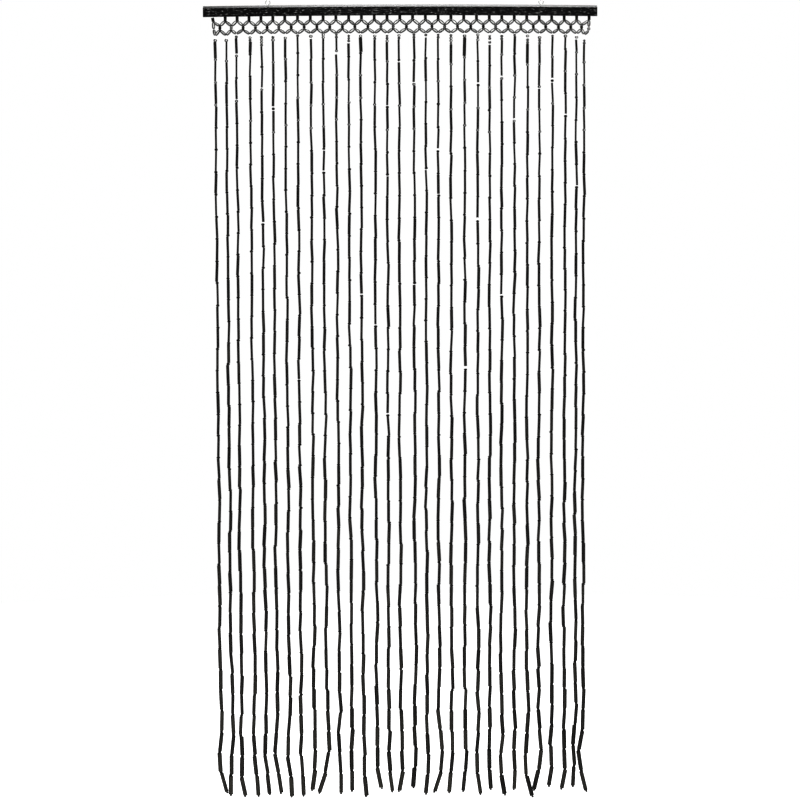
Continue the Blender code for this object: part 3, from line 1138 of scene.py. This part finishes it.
FLOOR_Z = -2.05
FLOOR_RADIUS = 4.5

# The room's light in front and behind, and the shares of depth between which it grows
ROOM_LIGHT = (0.12, 0.45)
ROOM_LIGHT_REACH = (-0.4, 0.5)

# Soft light panels: where each stands, where it looks, its size in metres and its power in watts
Panel = namedtuple("Panel", "name place target width height power")
PANELS = (
    Panel("front_panel", (0.3, -3.1, 0.8), (0.0, 0.0, -0.3), 3.6, 3.2, 190),
    Panel("low_panel", (-0.4, -3.2, -2.1), (0.0, 0.0, -1.7), 1.6, 0.8, 175),
    Panel("back_panel", (0.1, 1.7, 1.5), (0.0, 0.0, -0.01), 1.1, 0.9, 115),
)


def make_camera():
    data = bpy.data.cameras.new("camera")
    data.lens = CAMERA_LENS
    data.sensor_width = CAMERA_SENSOR
    data.clip_end = 50.0
    camera = bpy.data.objects.new("camera", data)
    bpy.context.collection.objects.link(camera)
    camera.location = CAMERA_PLACE
    level = Euler((math.radians(90) - CAMERA_DOWN, 0.0, 0.0)).to_matrix()
    roll = Euler((0.0, 0.0, CAMERA_ROLL)).to_matrix()
    camera.rotation_euler = (level @ roll).to_euler()
    bpy.context.scene.camera = camera


def make_panel_light(panel):
    data = bpy.data.lights.new(panel.name, "AREA")
    data.shape = "RECTANGLE"
    data.size = panel.width
    data.size_y = panel.height
    data.energy = panel.power
    light = bpy.data.objects.new(panel.name, data)
    bpy.context.collection.objects.link(light)
    light.location = panel.place
    look = Vector(panel.target) - Vector(panel.place)
    light.rotation_euler = look.to_track_quat("-Z", "Y").to_euler()
    light.visible_camera = False


def make_floor():
    mesh = bmesh.new()
    bmesh.ops.create_circle(mesh, cap_ends=True, segments=96, radius=FLOOR_RADIUS)
    data = bpy.data.meshes.new("floor")
    mesh.to_mesh(data)
    mesh.free()
    floor = bpy.data.objects.new("floor", data)
    floor.location = (0.0, 0.0, FLOOR_Z)
    bpy.context.collection.objects.link(floor)
    material, tree, shader = new_material("pale_floor")
    shader.inputs["Base Color"].default_value = (0.8, 0.8, 0.8, 1.0)
    shader.inputs["Emission Color"].default_value = (1.0, 1.0, 1.0, 1.0)
    shader.inputs["Emission Strength"].default_value = 0.85
    shader.inputs["Roughness"].default_value = 0.9
    data.materials.append(material)


def make_room_light():
    """White round the object for the eye; for its gloss, dim in front and bright behind."""
    world = bpy.data.worlds.new("studio")
    bpy.context.scene.world = world
    world.use_nodes = True
    tree = world.node_tree
    tree.nodes.clear()
    white = ("Color", (1.0, 1.0, 1.0, 1.0))
    seen = add_node(tree, "ShaderNodeBackground", (white, ("Strength", 1.0)))
    direction = add_node(tree, "ShaderNodeTexCoord").outputs["Generated"]
    parts = add_node(tree, "ShaderNodeSeparateXYZ", ((0, direction),))
    depth = number_range(tree, parts.outputs["Y"], *ROOM_LIGHT, *ROOM_LIGHT_REACH)
    lighting = add_node(tree, "ShaderNodeBackground", (white, ("Strength", depth)))
    rays = tree.nodes.new("ShaderNodeLightPath")
    mix = add_node(
        tree,
        "ShaderNodeMixShader",
        ((0, rays.outputs["Is Camera Ray"]), (1, lighting.outputs[0]), (2, seen.outputs[0])),
    )
    add_node(tree, "ShaderNodeOutputWorld", (("Surface", mix.outputs[0]),))


def make_studio():
    make_camera()
    make_room_light()
    make_floor()
    for panel in PANELS:
        make_panel_light(panel)
    view = bpy.context.scene.view_settings
    view.view_transform = "Standard"
    view.gamma = VIEW_GAMMA


def main():
    make_studio()
    make_curtain((stained_bamboo(), black_lacquer(), highlight_painted_lacquer()), clear_nylon())
    make_screw_eyes(bright_wire())
    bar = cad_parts["header_bar"]
    paint = painted_wood()
    for slot in bar.material_slots:
        slot.material = paint


main()
